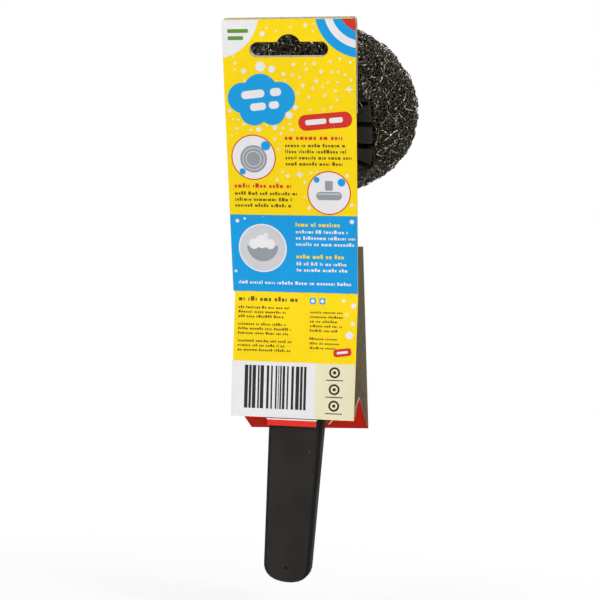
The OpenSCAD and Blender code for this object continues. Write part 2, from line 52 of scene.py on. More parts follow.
# Sizes in millimetres, in the wand's own frame: X across, Y from the card's back panel to the front,
# Z up from the butt. The middle of the hang slot is the model's origin.
SLOT = Vector((-6.8135, -25.2997, 218.6269))
HEAD_TILT = 38.0
HEAD_Y, HEAD_Z = 14.4, 200.0
CARD_SKEW, CARD_LEFT, CARD_FOOT = 2.2, 1.1, 69.9
LOWER, UPPER, LEAN = 52.4, 111.7, 14.7
CARD_TOP_W, CARD_FOOT_W = 54.4, 52.4
SLOT_V = LOWER + UPPER - 12.0
BASE_DEPTH, BASE_FALL, FRONT_H, TWIST = 34.0, 13.0, 78.6, 2.0
BASE_IN, BASE_SLIDE, EAR_H = 6.0, 0.8, 10.0
MESH_R, MESH_T, PLATE_R, PLATE_HALF_L = 41.2, 25.0, 24.3, 32.5
MESH_BACK, SUNK, BUTTON_R, PETAL_BACK = -12.5, 1.2, 11.0, -15.8
HOOK_Y, LEAF_Z = 9.0, -25.0
BEHIND_HANDLE, HANDLE_T, BEFORE_HANDLE, BOARD_T = 1.5, 13.0, 1.4, 0.6

# The camera as fitted to the photograph: its angles in degrees, its distance, the point that it looks
# at, and its focal length in pixels of a frame 600 pixels wide
VIEW_TURN, VIEW_DOWN, VIEW_ROLL = 11.68, 0.36, 1.54
VIEW_AWAY, VIEW_RIGHT, VIEW_RISE, VIEW_ZERO = 576.5, 2.16, 0.17, 49.1
FOCAL, FRAME_WIDTH, SENSOR = 1387.9, 600, 36


def turned(degrees, axis):
    return Matrix.Rotation(math.radians(degrees), 4, axis)


wand = Matrix.Scale(0.001, 4) @ Matrix.Translation(-SLOT)
head = wand @ Matrix.Translation((0, HEAD_Y, HEAD_Z)) @ turned(HEAD_TILT - 90, "X")
card = wand @ Matrix.Translation((-CARD_LEFT, 0, CARD_FOOT)) @ turned(-CARD_SKEW, "Y")
upper = card @ Matrix.Translation((0, 0, LOWER)) @ turned(LEAN, "X")
TWIST_AT = Vector((BASE_IN - CARD_FOOT_W / 2, 0, 0))
front = card @ Matrix.Translation(TWIST_AT) @ turned(-TWIST, "Y") @ Matrix.Translation(-TWIST_AT)


# The camera at the photograph's viewing angle
def look_from_photo():
    az, el, roll = (math.radians(angle) for angle in (VIEW_TURN, VIEW_DOWN, VIEW_ROLL))
    along = Vector((-math.sin(az) * math.cos(el), math.cos(az) * math.cos(el), -math.sin(el)))
    right = Vector((math.cos(az), math.sin(az), 0))
    up = right.cross(along)
    frame_right = right * math.cos(roll) + up * math.sin(roll)
    frame_up = up * math.cos(roll) - right * math.sin(roll)
    place = Vector((VIEW_RIGHT, 0, VIEW_RISE + VIEW_ZERO)) - along * VIEW_AWAY
    data = bpy.data.cameras.new("photo_camera")
    data.sensor_width = SENSOR
    data.lens = FOCAL / FRAME_WIDTH * SENSOR
    data.clip_start = 0.01
    camera = bpy.data.objects.new("photo_camera", data)
    bpy.context.scene.collection.objects.link(camera)
    turn = Matrix((frame_right, frame_up, -along)).transposed()
    skew = turned(-CARD_SKEW, "Y").to_3x3()
    camera.matrix_world = Matrix.Translation(card @ place) @ (skew @ turn).to_4x4()
    bpy.context.scene.camera = camera


look_from_photo()


# Node groups and materials
def socket(group, name, side, kind, value=None):
    made = group.interface.new_socket(name=name, in_out=side, socket_type=kind)
    if value is not None:
        made.default_value = value


class Graph:
    """Short hand for placing and joining nodes in one tree."""

    def __init__(self, tree):
        self.tree = tree

    def join(self, a, b):
        self.tree.links.new(a, b)

    def feed(self, target, value):
        """Joins a socket to an input, or writes a plain value there."""
        if isinstance(value, bpy.types.NodeSocket):
            self.join(value, target)
        else:
            target.default_value = value

    def add(self, kind, **inputs):
        node = self.tree.nodes.new(kind)
        for name, value in inputs.items():
            self.feed(node.inputs[name], value)
        return node

    def place_group(self, group, **inputs):
        node = self.tree.nodes.new("ShaderNodeGroup")
        node.node_tree = group
        for name, value in inputs.items():
            self.feed(node.inputs[name], value)
        return node

    def math(self, how, a, b=None):
        node = self.tree.nodes.new("ShaderNodeMath")
        node.operation = how
        self.feed(node.inputs[0], a)
        if b is not None:
            self.feed(node.inputs[1], b)
        return node.outputs[0]

    def ramp(self, fac, low, high, to_low=0.0, to_high=1.0):
        node = self.tree.nodes.new("ShaderNodeMapRange")
        node.interpolation_type = "SMOOTHSTEP"
        self.join(fac, node.inputs["Value"])
        for key, value in (("From Min", low), ("From Max", high), ("To Min", to_low), ("To Max", to_high)):
            node.inputs[key].default_value = value
        return node.outputs[0]

    def mix(self, fac, a, b):
        node = self.tree.nodes.new("ShaderNodeMix")
        node.data_type = "RGBA"
        for i, value in ((0, fac), (6, a), (7, b)):
            self.feed(node.inputs[i], value)
        return node.outputs[2]


def grain_group():
    """Two sizes of noise on Object coordinates: a bump height and a mask for blotches."""
    group = bpy.data.node_groups.new("surface grain", "ShaderNodeTree")
    socket(group, "Fine", "INPUT", "NodeSocketFloat", 2500.0)
    socket(group, "Coarse", "INPUT", "NodeSocketFloat", 90.0)
    socket(group, "Stretch", "INPUT", "NodeSocketVector", (1, 1, 1))
    socket(group, "Height", "OUTPUT", "NodeSocketFloat")
    socket(group, "Blotch", "OUTPUT", "NodeSocketFloat")
    g = Graph(group)
    given = g.add("NodeGroupInput")
    out = g.add("NodeGroupOutput")
    place = g.add("ShaderNodeTexCoord").outputs["Object"]
    stretch = g.add("ShaderNodeVectorMath")
    stretch.operation = "MULTIPLY"
    g.join(place, stretch.inputs[0])
    g.join(given.outputs["Stretch"], stretch.inputs[1])
    drawn = stretch.outputs[0]
    fine = g.add("ShaderNodeTexNoise", Vector=drawn, Scale=given.outputs["Fine"], Detail=3.0)
    coarse = g.add("ShaderNodeTexNoise", Vector=drawn, Scale=given.outputs["Coarse"], Detail=5.0)
    g.join(fine.outputs[0], out.inputs["Height"])
    g.join(g.ramp(coarse.outputs[0], 0.35, 0.65), out.inputs["Blotch"])
    return group


def specks_group():
    """Sparse small specks, such as dust or scuffs, on Object coordinates."""
    group = bpy.data.node_groups.new("sparse specks", "ShaderNodeTree")
    socket(group, "Scale", "INPUT", "NodeSocketFloat", 400.0)
    socket(group, "Share", "INPUT", "NodeSocketFloat", 0.03)
    socket(group, "Mask", "OUTPUT", "NodeSocketFloat")
    g = Graph(group)
    given = g.add("NodeGroupInput")
    out = g.add("NodeGroupOutput")
    place = g.add("ShaderNodeTexCoord").outputs["Object"]
    cells = g.add("ShaderNodeTexVoronoi", Vector=place, Scale=given.outputs["Scale"])
    chance = g.add("ShaderNodeSeparateColor", Color=cells.outputs["Color"]).outputs[0]
    chosen = g.math("LESS_THAN", chance, given.outputs["Share"])
    small = g.ramp(cells.outputs["Distance"], 0.1, 0.3, 1.0, 0.0)
    g.join(g.math("MULTIPLY", chosen, small), out.inputs["Mask"])
    return group


GRAIN = grain_group()
SPECKS = specks_group()


def new_material(name):
    material = bpy.data.materials.new(name)
    material.use_nodes = True
    material.node_tree.nodes.clear()
    g = Graph(material.node_tree)
    shader = g.add("ShaderNodeBsdfPrincipled")
    g.add("ShaderNodeOutputMaterial", Surface=shader.outputs[0])
    return material, g, shader


def rgba(r, g, b):
    return (r, g, b, 1.0)


def srgb(r, g, b):
    """A colour written as it looks, from 0 to 255, as the shader's linear value."""
    return tuple((c / 255 / 12.92) if c / 255 <= 0.04045 else ((c / 255 + 0.055) / 1.055) ** 2.4
                 for c in (r, g, b)) + (1.0,)


def toned(colour, times=1.0, plus=0.0):
    return tuple(min(1.0, c * times + plus) for c in colour[:3]) + (1.0,)


def dress(g, shader, grain, colour, bump, depth, rough=None):
    """Joins a colour, fine relief and, where rough gives its ends, an uneven gloss to the shader."""
    g.join(colour, shader.inputs["Base Color"])
    if rough:
        g.join(g.ramp(grain.outputs["Blotch"], 0.0, 1.0, *rough), shader.inputs["Roughness"])
    relief = g.add("ShaderNodeBump", Height=grain.outputs["Height"], Strength=bump, Distance=depth)
    g.join(relief.outputs[0], shader.inputs["Normal"])


def plastic(name, colour, light, rough, specks, level, fine=2600.0, bump=0.06, sides=None):
    """Moulded plastic: fine spark grain, cloudy gloss, a few pale specks, and, where sides is given,
    painted shade that darkens the faces turned left and right.
    """
    material, g, shader = new_material(name)
    grain = g.place_group(GRAIN, Fine=fine, Coarse=60.0)
    dust = g.place_group(SPECKS, Scale=650.0, Share=specks)
    body = g.mix(grain.outputs["Blotch"], colour, light)
    # Painted shade: faces turned left or right along X are mixed towards the darker sides colour
    if sides:
        facing = g.add("ShaderNodeSeparateXYZ", Vector=g.add("ShaderNodeTexCoord").outputs["Normal"])
        body = g.mix(g.ramp(g.math("ABSOLUTE", facing.outputs["X"]), 0.3, 0.62), body, sides)
    specked = g.mix(g.math("MULTIPLY", dust.outputs["Mask"], 0.8), body, toned(colour, plus=0.3))
    dress(g, shader, grain, specked, bump, 0.0002, rough)
    shader.inputs["Specular IOR Level"].default_value = level
    return material


def printed(name, colour, rough=0.36, level=0.16):
    """Litho print on folding board: slightly uneven ink, faint board relief, half gloss."""
    material, g, shader = new_material(name)
    grain = g.place_group(GRAIN, Fine=1500.0, Coarse=35.0)
    ink = g.mix(grain.outputs["Blotch"], colour, toned(colour, 0.93))
    dots = g.place_group(SPECKS, Scale=900.0, Share=0.006)
    bare = g.mix(g.math("MULTIPLY", dots.outputs["Mask"], 0.35), ink, rgba(0.8, 0.79, 0.74))
    dress(g, shader, grain, bare, 0.05, 0.0001, (rough, rough + 0.08))
    shader.inputs["Specular IOR Level"].default_value = level
    return material


def bare_board(name, colour, light):
    """Bare recycled board: fibres and flecks, matt."""
    material, g, shader = new_material(name)
    grain = g.place_group(GRAIN, Fine=1400.0, Coarse=900.0, Stretch=(1.0, 1.0, 0.7))
    flecks = g.place_group(SPECKS, Scale=1500.0, Share=0.08)
    tone = g.mix(grain.outputs["Blotch"], colour, light)
    flecked = g.mix(g.math("MULTIPLY", flecks.outputs["Mask"], 0.4), tone, toned(colour, 0.45))
    dress(g, shader, grain, flecked, 0.25, 0.0002)
    shader.inputs["Roughness"].default_value = 0.85
    shader.inputs["Specular IOR Level"].default_value = 0.2
    return material


def steel(name, dark, bright, share, rough=(0.22, 0.42)):
    """Drawn steel: dull wire with noise patches of bright base colour, which are painted glints."""
    material, g, shader = new_material(name)
    grain = g.place_group(GRAIN, Fine=900.0, Coarse=330.0)
    # Painted glints: where the noise is high the base colour turns bright
    painted_glint_patch = g.ramp(grain.outputs["Height"], 1.0 - share - 0.12, 1.0 - share + 0.06)
    dress(g, shader, grain, g.mix(painted_glint_patch, dark, bright), 0.15, 0.0001, rough)
    shader.inputs["Metallic"].default_value = 1.0
    return material


YELLOW = printed("sunny yellow print", srgb(254, 219, 0))
BLUE = printed("sky blue print", srgb(14, 158, 227))
RED = printed("signal red print", srgb(214, 50, 36))
BRIGHT_RED = printed("tongue red print", srgb(232, 46, 30))
# The base and ear are printed red; their red is made darker than the tongue's as painted shade at the
# card's foot
SHADED_BASE_RED = printed("base red print with painted shade", srgb(192, 40, 29), 0.7, 0.0)
WHITE = printed("white print", srgb(236, 234, 236))
CREAM = printed("cream print", srgb(236, 228, 192))
INK = printed("brown ink", srgb(104, 84, 24), 0.45)
SLATE = printed("slate ink", srgb(42, 42, 44), 0.45)
LEAF = printed("leaf green print", srgb(92, 148, 44))
SILVER = printed("silver grey print", srgb(150, 156, 162))
MIST = printed("pale grey print", srgb(206, 208, 212))
BOARD = bare_board("grey-brown board", srgb(159, 146, 120), srgb(146, 134, 109))
PALE_BOARD = bare_board("pale board", srgb(206, 205, 192), srgb(182, 180, 166))
CUT_EDGE = bare_board("cut board edge", srgb(150, 140, 118), srgb(108, 98, 80))
# The sides colour here is painted shade on the handle's side faces
BLACK = plastic("black handle plastic", rgba(0.0212, 0.0196, 0.0176), rgba(0.0292, 0.027, 0.0244),
                (0.55, 0.68), 0.02, 0.06, bump=0.12, sides=rgba(0.0125, 0.0118, 0.0108))
REFILL_BLACK = plastic("black refill plastic", rgba(0.026, 0.0238, 0.02), rgba(0.036, 0.033, 0.028),
                       (0.42, 0.55), 0.006, 0.3)
LEVER_RED = plastic("red lever plastic", rgba(0.62, 0.012, 0.01), rgba(0.55, 0.01, 0.008), (0.2, 0.3),
                    0.0, 0.5, 1800.0, 0.03)
# The bright colour of each steel below is a painted glint, laid in noise patches
WIRE = steel("knitted steel wire", rgba(0.062, 0.051, 0.038), rgba(0.9, 0.82, 0.68), 0.32)
# Painted shade: the innermost wire is a darker copy of the knitted wire, for the shade deep in the scourer
SHADED_WIRE = steel("inner steel wire with painted shade", rgba(0.036, 0.03, 0.022), rgba(0.3, 0.26, 0.2), 0.32)
GLINT = steel("stray wire with painted glints", rgba(0.1, 0.085, 0.065), rgba(1.0, 0.94, 0.82), 0.42, (0.16, 0.3))
# Painted shade: a near-black surface under the knitted wire, where the inner wire lies in shade
PAINTED_SHADE_CORE = bare_board("painted shade under the knit", rgba(0.006, 0.005, 0.004), rgba(0.012, 0.01, 0.008))
SPRING = steel("spring steel", rgba(0.2, 0.2, 0.194), rgba(0.38, 0.38, 0.366), 0.5, (0.25, 0.35))


# Making and finishing pieces
def deselect():
    if bpy.context.object and bpy.context.object.mode != "OBJECT":
        bpy.ops.object.mode_set(mode="OBJECT")
    bpy.ops.object.select_all(action="DESELECT")


def activate(piece):
    deselect()
    piece.select_set(True)
    bpy.context.view_layer.objects.active = piece


def modify(piece, kind, **settings):
    activate(piece)
    modifier = piece.modifiers.new(kind.lower(), kind)
    for key, value in settings.items():
        setattr(modifier, key, value)
    bpy.ops.object.modifier_apply(modifier=modifier.name)


def smooth(piece, degrees):
    activate(piece)
    bpy.ops.object.shade_smooth_by_angle(angle=math.radians(degrees))


def finish(piece, body, slot, *replaced):
    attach(piece, body)
    if replaced:
        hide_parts(*replaced)


def clean_copy(node, name, flat=0.6):
    """A node's mesh as a new piece, with its loose triangles joined and its flats made whole."""
    mesh = nodes[node].data.copy()
    mesh.transform(nodes[node].matrix_world)
    piece = bpy.data.objects.new(name, mesh)
    bpy.context.scene.collection.objects.link(piece)
    activate(piece)
    bpy.ops.object.mode_set(mode="EDIT")
    bpy.ops.mesh.select_all(action="SELECT")
    bpy.ops.mesh.remove_doubles(threshold=0.000004)
    bpy.ops.mesh.customdata_custom_splitnormals_clear()
    bpy.ops.mesh.dissolve_limited(angle_limit=math.radians(flat))
    bpy.ops.object.mode_set(mode="OBJECT")
    mesh.materials.clear()
    return piece


def moulded(node, name, material, body, slot, edge, flat=0.6, angle=35):
    """A rigid node with its sharp edges eased, as a moulding has them."""
    piece = clean_copy(node, name, flat)
    piece.data.materials.append(material)
    if edge:
        modify(piece, "BEVEL", width=edge * 0.001, segments=2, limit_method="ANGLE",
               angle_limit=math.radians(angle), use_clamp_overlap=True, harden_normals=False)
    smooth(piece, angle)
    modify(piece, "WEIGHTED_NORMAL", keep_sharp=True, weight=60)
    finish(piece, body, slot, node)


# The folded card
def sort_faces(piece, materials, choose):
    for material in materials:
        piece.data.materials.append(material)
    for face in piece.data.polygons:
        face.material_index = choose(face.center, face.normal)


BASE_Y = BASE_DEPTH * math.cos(math.radians(BASE_FALL))
BASE_Z = -BASE_DEPTH * math.sin(math.radians(BASE_FALL))
# A face looks along an axis when its normal's share there is above this
FACING = 0.7


def card_face(centre, normal):
    """0 print, 1 board inside, 2 cut edge, 3 red base and ear, 4 the ear's torn edge."""
    at = card.inverted() @ centre
    out = (card.to_3x3().inverted() @ normal).normalized()
    on_base = front.inverted() @ centre
    above = on_base.z - on_base.y * BASE_Z / BASE_Y
    sideways = abs(out.x) > FACING
    if 0.9 < on_base.y < BASE_Y - 0.4:
        if sideways and above < EAR_H:
            return 1 if out.x < 0 and above > 1 else 3
        if not sideways and on_base.x > 24 and 0.7 < above < EAR_H + 0.5:
            return 4
    if sideways:
        return 2
    if at.y > 2 and out.z < -FACING:
        return 3
    if out.y < -FACING:
        return 0 if at.y < 0.3 else 1
    if out.y > FACING:
        return 0 if at.y > 12 else 1
    if out.z > FACING and at.y > 1 and at.z < 5:
        return 1
    return 2


def faces_of(sheet):
    """For a layer of board that lies in a sheet: 0 its back face, 1 its front face, 2 its edges."""
    def choose(centre, normal):
        out = (sheet.to_3x3().inverted() @ normal).normalized()
        return 0 if out.y < -FACING else 1 if out.y > FACING else 2
    return choose


def folded_card():
    piece = clean_copy("hang_card", "folded_card")
    sort_faces(piece, (YELLOW, BOARD, CUT_EDGE, SHADED_BASE_RED, PALE_BOARD), card_face)
    finish(piece, "display_card", "card_print", "hang_card")
    layer = clean_copy("header_doubler", "header_layer")
    sort_faces(layer, (PALE_BOARD, BOARD, CUT_EDGE), faces_of(upper))
    finish(layer, "display_card", "card_board", "header_doubler")
    tongue = clean_copy("locking_tongue", "red_tongue")
    sort_faces(tongue, (BRIGHT_RED, BOARD, PALE_BOARD), faces_of(card))
    finish(tongue, "tongue", "card_red", "locking_tongue")


folded_card()


# The plain print on the card
TONGUE_W = 20.6
# The ear's outline, as shares of the base's depth and of the ear's height
EAR = ((0.09, 0), (0.16, 0.39), (0.25, 0.66), (0.41, 1), (0.97, 0))
# How far the coats of print lie off the board, and how far apart the circles of one cloud lie
FIRST, SECOND, THIRD, FOURTH, APART = 0.03, 0.05, 0.07, 0.09, 0.008
# A block of small print: its width as a share of its height, and the share of blocks that stand tall
CELL, TALL_SHARE = 0.27, 0.22


def half_width(v):
    """Half the card's width at the height v above its foot."""
    share = v / (LOWER + UPPER * math.cos(math.radians(LEAN)))
    return (CARD_FOOT_W + (CARD_TOP_W - CARD_FOOT_W) * share) / 2


class Ink:
    """Flat shapes of one colour on one face of the card, drawn in millimetres across and up that face."""

    def __init__(self, name, material, sheet, lift):
        self.sheet, self.lift, self.stack = sheet, lift, 0.0
        mesh = bpy.data.meshes.new(name)
        self.piece = bpy.data.objects.new(name, mesh)
        bpy.context.scene.collection.objects.link(self.piece)
        mesh.materials.append(material)
        activate(self.piece)
        bpy.ops.object.mode_set(mode="EDIT")
        bpy.ops.mesh.select_mode(type="VERT")

    def disc(self, u, v, r, sides=40):
        bpy.ops.mesh.select_all(action="DESELECT")
        bpy.ops.mesh.primitive_circle_add(vertices=sides, radius=r, fill_type="NGON",
                                          location=(u, v, self.stack))

    def dots(self, places):
        for u, v, r in places:
            self.disc(u, v, r, 24)

    def cloud(self, places, sides=48):
        """Overlapping circles, each a little above the last."""
        for u, v, r in places:
            self.disc(u, v, r, sides)
            self.stack += APART

    def ring(self, u, v, r, inner, sides=48):
        self.disc(u, v, r, sides)
        bpy.ops.mesh.inset(thickness=r - inner)
        bpy.ops.mesh.delete(type="ONLY_FACE")

    def bar(self, u, v, w, h, corner=0.0, turn=0.0):
        bpy.ops.mesh.select_all(action="DESELECT")
        bpy.ops.mesh.primitive_plane_add(size=1, location=(0, 0, 0))
        bpy.ops.transform.resize(value=(w, h, 1))
        if corner:
            bpy.ops.mesh.bevel(affect="VERTICES", offset=corner, segments=6)
        if turn:
            bpy.ops.transform.rotate(value=-math.radians(turn), orient_axis="Z", center_override=(0, 0, 0))
        bpy.ops.transform.translate(value=(u, v, self.stack))

    def star(self, u, v, r):
        self.disc(u, v, r, 8)
        mesh = bmesh.from_edit_mesh(self.piece.data)
        for vert in mesh.verts:
            off = vert.co - Vector((u, v, self.stack))
            if vert.select and min(abs(off.x), abs(off.y)) < r * 0.3:
                vert.select_set(False)
        mesh.select_flush(False)
        bmesh.update_edit_mesh(self.piece.data)
        bpy.ops.transform.resize(value=(0.32, 0.32, 1), center_override=(u, v, self.stack))

    def words(self, u, v, width, lines, pitch, h, rng, ragged=0.35):
        """Rows of small blocks in groups, which stand for lines of small print."""
        cell = h * CELL
        for row in range(lines):
            cells = round(width * (1 - ragged * rng.random()) / cell)
            bpy.ops.mesh.select_all(action="DESELECT")
            bpy.ops.mesh.select_mode(type="FACE")
            bpy.ops.mesh.primitive_grid_add(x_subdivisions=cells, y_subdivisions=3, size=1)
            bpy.ops.transform.resize(value=(cells * cell, h, 1), center_override=(0, 0, 0))
            bpy.ops.transform.translate(value=(u + cells * cell / 2, v - row * pitch, self.stack))
            blocks, tall = [], []
            left = 0
            for _ in range(cells):
                if left == 0:
                    left = rng.randint(2, 8)
                    blocks += [False, False]
                    tall += [False, False]
                wide = rng.choice((1, 2, 2, 2, 3))
                blocks += [True] * wide + [False]
                tall += [rng.random() < TALL_SHARE] * wide + [False]
                left -= 1
            mesh = bmesh.from_edit_mesh(self.piece.data)
            for face in mesh.faces:
                if face.select:
                    at = face.calc_center_median()
                    column = int((at.x - u) / cell) + 2
                    top = at.y > v - row * pitch + h / 6
                    if tall[column] if top else blocks[column]:
                        face.select_set(False)
            bmesh.update_edit_mesh(self.piece.data)
            bpy.ops.mesh.delete(type="FACE")
            bpy.ops.mesh.select_mode(type="VERT")

    def cut(self, at, out):
        """Trims every shape beyond the line through a point, on the side that out points to."""
        bpy.ops.mesh.select_all(action="SELECT")
        bpy.ops.mesh.bisect(plane_co=(*at, 0), plane_no=(*out, 0), clear_outer=True)

    def done(self, body="display_card", slot="card_print"):
        bpy.ops.object.mode_set(mode="OBJECT")
        lay = Matrix(((1, 0, 0, 0), (0, 0, -1, -self.lift), (0, 1, 0, 0), (0, 0, 0, 1)))
        self.piece.data.transform(self.sheet @ lay)
        finish(self.piece, body, slot)


def field(name, material, sheet, foot, v0, v1, lift, u0=-40.0, u1=40.0):
    """A printed field from v0 to v1, trimmed to the card's tapering sides."""
    ink = Ink(name, material, sheet, lift)
    ink.bar((u0 + u1) / 2, (v0 + v1) / 2, u1 - u0, v1 - v0)
    low, high = half_width(v0 + foot) - 0.08, half_width(v1 + foot) - 0.08
    slope = (high - low) / (v1 - v0)
    ink.cut((low, v0), (1, -slope))
    ink.cut((-low, v0), (-1, -slope))
    ink.done()


# Places on the upper panel, in millimetres across it and up from the crease
SPLASH = ((-19.5, 80.5, 6.2), (-12, 83, 7.2), (-4.2, 80.6, 6.4), (-15, 75.4, 6.0), (-7.4, 75, 5.4))
BADGE, LEFT_INSET, RIGHT_INSET, BOWL = (14.2, 71.2), (-15.8, 56.4), (15.2, 42.0), (-13.2, 18.6)
PANEL_TOP = UPPER - 0.15
TOP_HALF_W = half_width(LOWER + UPPER) - 0.12
BUBBLES = 74


def corner_mark(name, material, u, r, lift, inner=0.0, sides=64):
    """A disc or ring about a point outside one of the top corners, cut to the card."""
    mark = Ink(name, material, upper, lift)
    if inner:
        mark.ring(u, PANEL_TOP + 4, r, inner, sides)
    else:
        mark.disc(u, PANEL_TOP + 4, r, sides)
    side = math.copysign(1, u)
    mark.cut((side * TOP_HALF_W, 0), (side, 0))
    mark.cut((0, PANEL_TOP - 0.1), (0, 1))
    mark.done()


def bubble_print(rng):
    """Bubbles and sparkles between the header's other shapes, which are listed as circles to keep off."""
    bubbles = Ink("print_bubbles", WHITE, upper, FIRST)
    slot_up = SLOT_V - LOWER
    badge_u, badge_v = BADGE
    taken = [(-TOP_HALF_W - 4, PANEL_TOP + 4, 19.5), (TOP_HALF_W + 3, PANEL_TOP + 4, 19.5)]
    taken += [(0, slot_up + 1.5, 6.4)] + [(u * 2.3, slot_up, 4.6) for u in range(-6, 7)]
    taken += list(SPLASH) + [(u, badge_v + (u - badge_u) * 0.09, 4.2) for u in (5, 9, 14, 19, 24)]
    taken += [(*LEFT_INSET, 9.9), (*RIGHT_INSET, 9.6), (26, 60, 2.5), (26, 50, 2.5)]
    made = 0
    while made < BUBBLES:
        u, v = rng.uniform(-25.2, 25.2), rng.uniform(34.6, PANEL_TOP - 2)
        r = rng.choice((0.4, 0.55, 0.7, 0.7, 1.0, 1.4, 2.0))
        if any(math.hypot(u - a, v - b) < c + r for a, b, c in taken):
            continue
        if (u > -3.4 - r and 51 < v < 66.4 + r) or (u < 4.4 + r and 34.4 < v < 46.6 + r):
            continue
        taken.append((u, v, r + 1.3))
        if r in (0.7, 1.4) and made % 2:
            bubbles.star(u, v, r * 1.3)
        else:
            bubbles.disc(u, v, r, 24)
        made += 1
    bubbles.done()


def header_print():
    """Upper panel: heights are measured from the crease."""
    rng = random.Random(11)
    corner_mark("print_corner_white", WHITE, -TOP_HALF_W - 4, 19.5, FIRST)
    corner_mark("print_corner_blue", BLUE, TOP_HALF_W + 3, 19.5, FIRST)
    corner_mark("print_corner_ring", WHITE, TOP_HALF_W + 3, 15.8, SECOND, 12.8)
    corner_mark("print_corner_red", RED, TOP_HALF_W + 3, 9.4, SECOND, sides=48)
    green = Ink("print_corner_words", LEAF, upper, SECOND)
    green.bar(-20.6, PANEL_TOP - 4.4, 8.6, 1.5, 0.5)
    green.bar(-21.6, PANEL_TOP - 7.2, 6.4, 1.5, 0.5)
    green.done()

    splash = Ink("print_splash", BLUE, upper, FIRST)
    splash.cloud(SPLASH)
    splash.done()
    foam = Ink("print_splash_bars", WHITE, upper, 0.1)
    foam.bar(-15.2, 82, 9.6, 3.2, 1.5, 6)
    foam.bar(-5.8, 82.9, 4.6, 3.2, 1.5, 6)
    foam.bar(-13.2, 77, 6.6, 3.0, 1.4, 6)
    foam.bar(-6.6, 77.7, 4.2, 3.0, 1.4, 6)
    foam.done()
    badge = Ink("print_badge", RED, upper, FIRST)
    badge.bar(*BADGE, 22, 6.4, 3.0, 5)
    badge.done()
    line = Ink("print_badge_bars", WHITE, upper, 0.06)
    line.bar(10.4, 70.9, 8.6, 2.1, 0.8, 5)
    line.bar(18.6, 71.6, 5.6, 2.1, 0.8, 5)
    line.done()
    bubble_print(rng)

    heads = Ink("print_heading_bars", RED, upper, FIRST)
    heads.words(-2.5, 64.6, 24, 1, 2, 1.9, rng, 0.1)
    heads.words(-24.2, 44.8, 25, 1, 2, 1.8, rng, 0.1)
    heads.done()
    body = Ink("print_text_bars", INK, upper, FIRST)
    body.words(-2.5, 61.4, 27.5, 4, 2.5, 1.4, rng, 0.2)
    body.words(-24.2, 41.6, 27, 3, 2.5, 1.4, rng, 0.2)
    body.done()

    rims = Ink("print_inset_rims", RED, upper, FIRST)
    rims.disc(*LEFT_INSET, 9.3, 64)
    rims.disc(*RIGHT_INSET, 9.0, 64)
    rims.done()
    insets = Ink("print_insets", WHITE, upper, SECOND)
    insets.disc(*LEFT_INSET, 8.85, 64)
    insets.disc(*RIGHT_INSET, 8.55, 64)
    insets.done()
    plate = Ink("print_plate", SILVER, upper, THIRD)
    plate.disc(-15.8, 55.8, 5.6, 48)
    plate.bar(15.2, 40.8, 10.6, 3.4, 1.6)
    plate.bar(15.2, 45.0, 3.2, 4.0, 0.6)
    plate.done()
    shine = Ink("print_plate_shine", MIST, upper, FOURTH)
    shine.ring(-15.8, 55.8, 4.7, 4.3)
    shine.ring(-15.8, 55.8, 3.3, 2.9)
    shine.bar(15.2, 41.6, 8.6, 0.5)
    shine.done()
    drops = Ink("print_drops", BLUE, upper, FOURTH)
    for drop in ((-10.6, 61.2, 1.9), (-20.6, 50.6, 1.3), (10.2, 47.4, 1.2), (20.4, 46.4, 1.6)):
        drops.disc(*drop, 32)
    drops.done()


def band_print():
    """The blue band over the crease, with its words and the bowl of foam."""
    rng = random.Random(23)
    field("print_blue_band", BLUE, upper, LOWER, 0.05, 32.6, FIRST)
    heads = Ink("print_band_headings", YELLOW, upper, SECOND)
    heads.words(1.0, 28.8, 22, 1, 2, 1.7, rng, 0.1)
    heads.words(1.0, 15.4, 20, 1, 2, 1.7, rng, 0.1)
    heads.done()
    body = Ink("print_band_bars", WHITE, upper, SECOND)
    body.words(1.0, 25.8, 25, 3, 2.6, 1.4, rng, 0.15)
    body.words(1.0, 12.3, 25, 2, 2.6, 1.4, rng, 0.2)
    body.words(-24, 4.0, 48, 1, 2, 1.4, rng, 0.05)
    body.disc(*BOWL, 10.2, 64)
    body.dots(((-23.6, 30, 0.8), (-20.4, 31.0, 0.5), (24.4, 30.2, 0.9), (-25, 8.6, 0.6)))
    body.done()
    inset = Ink("print_band_inset", MIST, upper, THIRD)
    inset.disc(*BOWL, 9.6, 64)
    inset.done()
    bowl = Ink("print_bowl", SILVER, upper, FOURTH)
    bowl.disc(-13.2, 19.6, 6.6, 48)
    bowl.cut((0, 19.6), (0, 1))
    bowl.done()
    foam = Ink("print_bowl_foam", WHITE, upper, 0.11)
    foam.cloud(((-16.8, 20.4, 2.2), (-13.4, 21.4, 2.8), (-10, 20.4, 2.2), (-11.6, 24.2, 1.0)), 32)
    foam.done()


